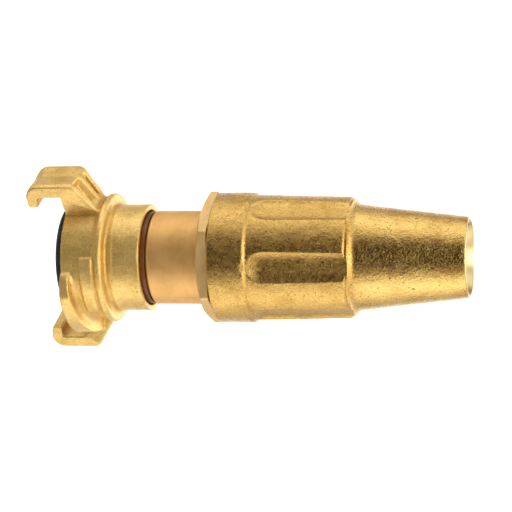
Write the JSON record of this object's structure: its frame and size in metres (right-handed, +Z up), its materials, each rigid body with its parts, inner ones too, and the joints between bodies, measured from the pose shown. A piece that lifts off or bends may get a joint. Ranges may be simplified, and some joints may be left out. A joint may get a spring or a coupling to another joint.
{
  "type": "hose nozzle",
  "caption": "Brass adjustable hose nozzle: two-claw quick coupling, swivelling tube, hex gland nut and fluted conical sleeve.",
  "frame": {"origin": "on the nozzle's axis, at the middle of its overall length", "axes": "+X along the axis towards the outlet, +Z up; the first claw points 60 degrees from +Z towards +Y"},
  "size_m": [0.1238, 0.0526, 0.038],
  "materials": {
    "cast_brass": "tumbled casting, satin",
    "turned_brass": "turned, fine lines",
    "rubber": "smooth, slightly glossy",
    "spring_steel": "plain",
    "slip_plastic": "moulded"
  },
  "bodies": {
    "coupling": {"coupling_body": "cast_brass", "coupling_seal": "rubber", "snap_ring": "spring_steel", "slip_washer": "slip_plastic"},
    "tube": {"spray_tube": "turned_brass", "jet_plug": "turned_brass", "plug_o_ring": "rubber", "swivel_o_ring": "rubber", "front_o_ring": "rubber", "stop_ring": "spring_steel"},
    "packing": {"gland_o_ring": "rubber", "backup_washer": "slip_plastic"},
    "sleeve": {"adjusting_sleeve": "cast_brass", "gland_nut": "turned_brass", "seat_ring": "turned_brass"}
  },
  "joints": [
    {"name": "coupling_swivel", "type": "hinge", "parent": "coupling", "child": "tube", "pos_m": [-0.04, 0, 0], "axis": [1, 0, 0], "continuous": true},
    {"name": "sleeve_advance", "type": "slide", "parent": "tube", "child": "packing", "axis": [1, 0, 0], "range_m": [-0.006, 0.003]},
    {"name": "sleeve_turn", "type": "hinge", "parent": "packing", "child": "sleeve", "pos_m": [0.02, 0, 0], "axis": [1, 0, 0], "range_deg": [-360, 180]}
  ],
  "couplings": [
    {"joint": "sleeve_turn", "follows": "sleeve_advance", "rad_per_m": 1047.2}
  ]
}
